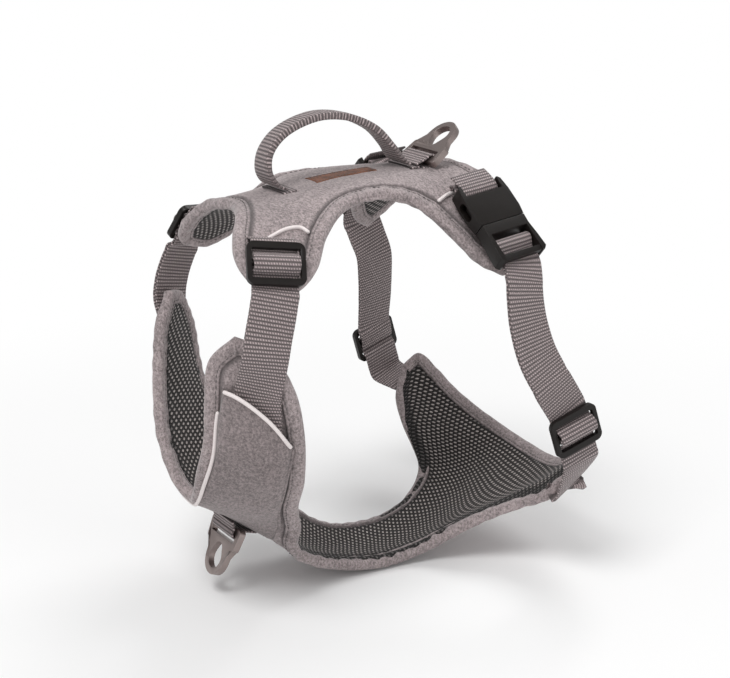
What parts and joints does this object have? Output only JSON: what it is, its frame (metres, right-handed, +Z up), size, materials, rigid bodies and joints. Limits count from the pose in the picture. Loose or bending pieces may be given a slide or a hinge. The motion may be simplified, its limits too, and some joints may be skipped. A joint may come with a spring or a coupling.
{
  "type": "no-pull dog harness",
  "caption": "Padded step-in-free dog harness with back and chest panels joined by adjustable webbing, side-release buckles, a lifting handle, and leash rings on the back and chest.",
  "frame": {"origin": "middle of the space that the dog's chest fills, between the back and chest panels", "axes": "+Z up towards the dog's back, +X to the dog's left, -Y towards its head"},
  "size_m": [0.2266, 0.2513, 0.2763],
  "materials": {
    "outer_fabric": "heathered woven polyester, warm grey",
    "pocket_fabric": "heathered woven polyester, darker grey",
    "mesh_lining": "black spacer mesh with pale flecks",
    "foam": "closed-cell padding, hidden",
    "webbing": "woven nylon webbing, grey with pale flecks",
    "piping": "pale retroreflective piping",
    "plastic": "black acetal, satin",
    "metal": "satin bronze-grey plated alloy",
    "patch": "brown leather-like, stitched, blank"
  },
  "bodies": {
    "harness": {"back_panel_shell": "outer_fabric", "back_panel_foam": "foam", "back_panel_lining": "mesh_lining", "back_panel_binding": "outer_fabric", "front_wing_piping_left": "piping", "front_wing_piping_right": "piping", "rear_wing_piping_left": "piping", "rear_wing_piping_right": "piping", "label_patch": "patch", "handle_front_tab": "webbing", "handle_rear_tab": "webbing", "rear_ring_loop": "webbing", "chest_panel_shell": "outer_fabric", "chest_panel_foam": "foam", "chest_panel_lining": "mesh_lining", "chest_panel_binding": "outer_fabric", "chest_pocket": "pocket_fabric", "pocket_piping_left": "piping", "pocket_piping_right": "piping", "chest_piping": "piping", "front_ring_loop": "webbing", "front_webbing_left": "webbing", "front_webbing_right": "webbing", "pocket_bar_left": "metal", "pocket_bar_right": "metal", "girth_webbing_left": "webbing", "girth_webbing_right": "webbing", "socket_loop_left": "webbing", "socket_loop_right": "webbing", "buckle_socket_left": "plastic", "buckle_socket_right": "plastic"},
    "rear_ring": {"rear_ring": "metal"},
    "front_ring": {"front_ring": "metal"},
    "handle": {"handle_grip": "webbing"},
    "front_slider_left": {"front_slider_left": "plastic"},
    "girth_slider_left": {"girth_slider_left": "plastic"},
    "plug_left": {"buckle_plug_left": "plastic"},
    "front_tine_left": {"front_tine_left": "plastic"},
    "rear_tine_left": {"rear_tine_left": "plastic"},
    "front_slider_right": {"front_slider_right": "plastic"},
    "girth_slider_right": {"girth_slider_right": "plastic"},
    "plug_right": {"buckle_plug_right": "plastic"},
    "front_tine_right": {"front_tine_right": "plastic"},
    "rear_tine_right": {"rear_tine_right": "plastic"}
  },
  "joints": [
    {"name": "rear_ring_swing", "type": "hinge", "parent": "harness", "child": "rear_ring", "pos_m": [0, 0.038, 0.1049], "axis": [1, 0, 0], "range_deg": [-30, 90]},
    {"name": "front_ring_swing", "type": "hinge", "parent": "harness", "child": "front_ring", "pos_m": [0, -0.09375, -0.09901], "axis": [1, 0, 0], "range_deg": [-70, 50]},
    {"name": "handle_lean", "type": "hinge", "parent": "harness", "child": "handle", "pos_m": [0, -0.017, 0.1005], "axis": [0, 1, 0], "range_deg": [-60, 60], "stiffness_Nm_per_rad": 0.02, "deforming": ["handle_grip"]},
    {"name": "front_slider_left_adjust", "type": "slide", "parent": "harness", "child": "front_slider_left", "axis": [0.4925, -0.242, -0.836], "range_m": [0, 0.01], "deforming": ["front_webbing_left"]},
    {"name": "girth_slider_left_adjust", "type": "slide", "parent": "harness", "child": "girth_slider_left", "axis": [-0.0434, -0.2988, 0.9533], "range_m": [0, 0.02], "deforming": ["girth_webbing_left"]},
    {"name": "left_buckle_release", "type": "slide", "parent": "harness", "child": "plug_left", "axis": [0.7211, 0.1261, -0.6812], "range_m": [0, 0.03], "deforming": ["girth_webbing_left"]},
    {"name": "rear_tine_left_press", "type": "hinge", "parent": "plug_left", "child": "rear_tine_left", "pos_m": [0.06612, 0.05754, 0.0791], "axis": [0.6885, -0.0211, 0.7249], "range_deg": [0, 6], "stiffness_Nm_per_rad": 0.05},
    {"name": "front_tine_left_press", "type": "hinge", "parent": "plug_left", "child": "front_tine_left", "pos_m": [0.06776, 0.03652, 0.07693], "axis": [-0.6885, 0.0211, -0.7249], "range_deg": [0, 6], "stiffness_Nm_per_rad": 0.05},
    {"name": "front_slider_right_adjust", "type": "slide", "parent": "harness", "child": "front_slider_right", "axis": [-0.4925, -0.242, -0.836], "range_m": [0, 0.01], "deforming": ["front_webbing_right"]},
    {"name": "girth_slider_right_adjust", "type": "slide", "parent": "harness", "child": "girth_slider_right", "axis": [0.0434, -0.2988, 0.9533], "range_m": [0, 0.02], "deforming": ["girth_webbing_right"]},
    {"name": "right_buckle_release", "type": "slide", "parent": "harness", "child": "plug_right", "axis": [-0.7211, 0.1261, -0.6812], "range_m": [0, 0.03], "deforming": ["girth_webbing_right"]},
    {"name": "rear_tine_right_press", "type": "hinge", "parent": "plug_right", "child": "rear_tine_right", "pos_m": [-0.06612, 0.05754, 0.0791], "axis": [0.6885, 0.0211, -0.7249], "range_deg": [0, 6], "stiffness_Nm_per_rad": 0.05},
    {"name": "front_tine_right_press", "type": "hinge", "parent": "plug_right", "child": "front_tine_right", "pos_m": [-0.06776, 0.03652, 0.07693], "axis": [-0.6885, -0.0211, 0.7249], "range_deg": [0, 6], "stiffness_Nm_per_rad": 0.05}
  ],
  "couplings": [
    {"joint": "rear_tine_left_press", "follows": "front_tine_left_press", "ratio": 1},
    {"joint": "rear_tine_right_press", "follows": "front_tine_right_press", "ratio": 1}
  ]
}
